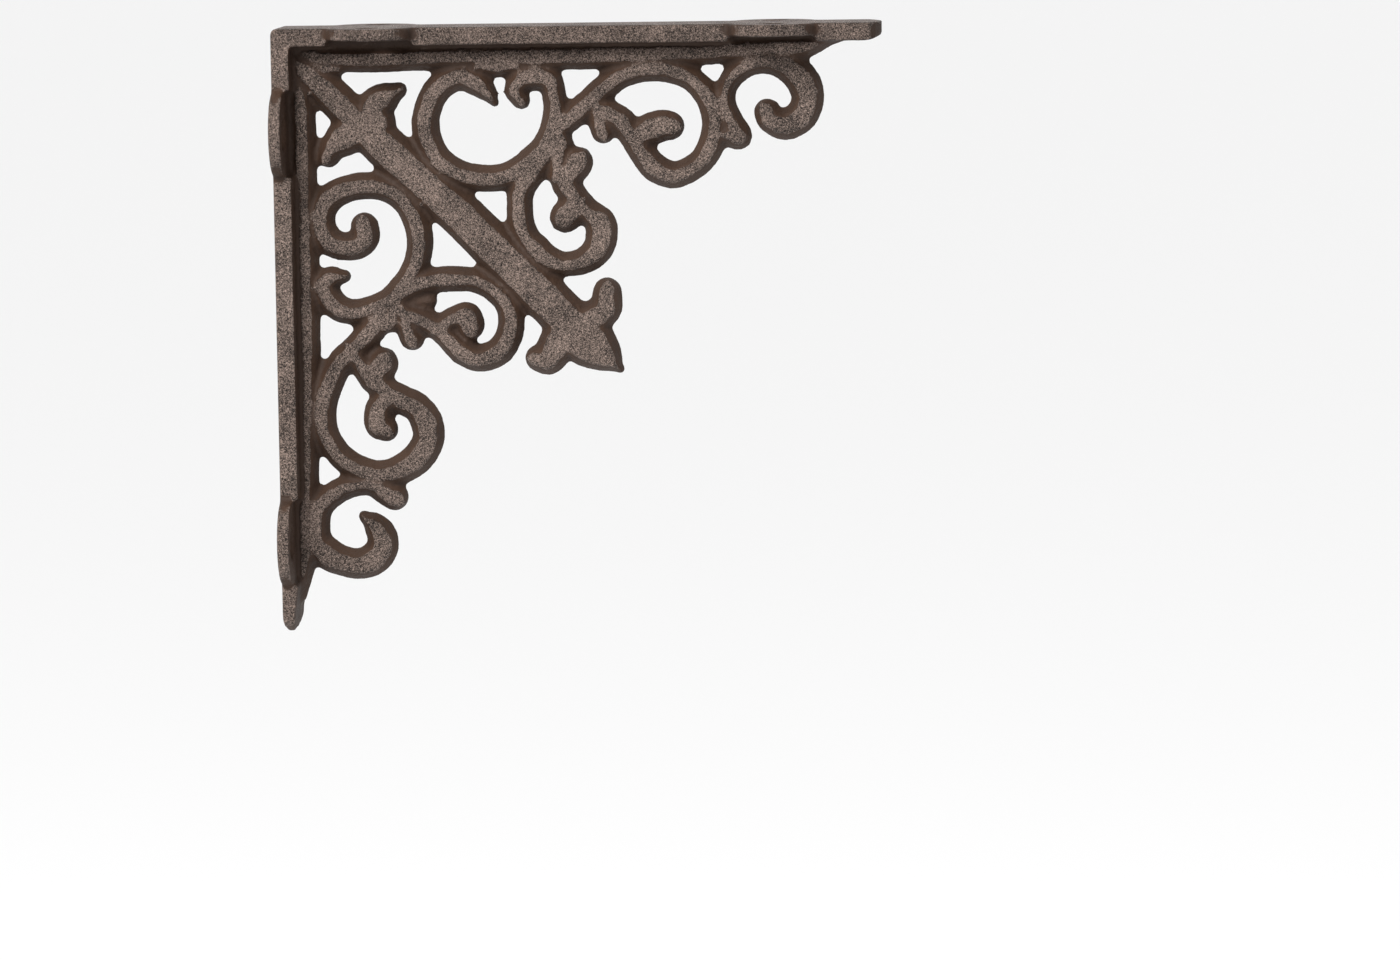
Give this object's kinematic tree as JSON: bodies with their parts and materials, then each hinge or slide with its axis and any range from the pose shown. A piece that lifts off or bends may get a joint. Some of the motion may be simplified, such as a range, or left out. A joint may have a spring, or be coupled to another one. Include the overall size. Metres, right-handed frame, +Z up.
{
  "type": "ornate cast iron shelf bracket",
  "caption": "L-shaped cast iron shelf bracket with pierced scroll fretwork, a diagonal arrow brace and round screw ears on its wall plate and shelf plate.",
  "frame": {"origin": "centre of the wall plate's flat back face, half way down it and on the bracket's centre plane", "axes": "+X out from the wall along the shelf, +Y across the plates, +Z up towards the shelf"},
  "size_m": [0.1328, 0.0332, 0.1328],
  "materials": {
    "cast_iron": "dark brown as-cast iron with a fine sand grain and a dull metallic sheen"
  },
  "bodies": {
    "root": {"bracket_casting": "cast_iron"}
  },
  "joints": []
}
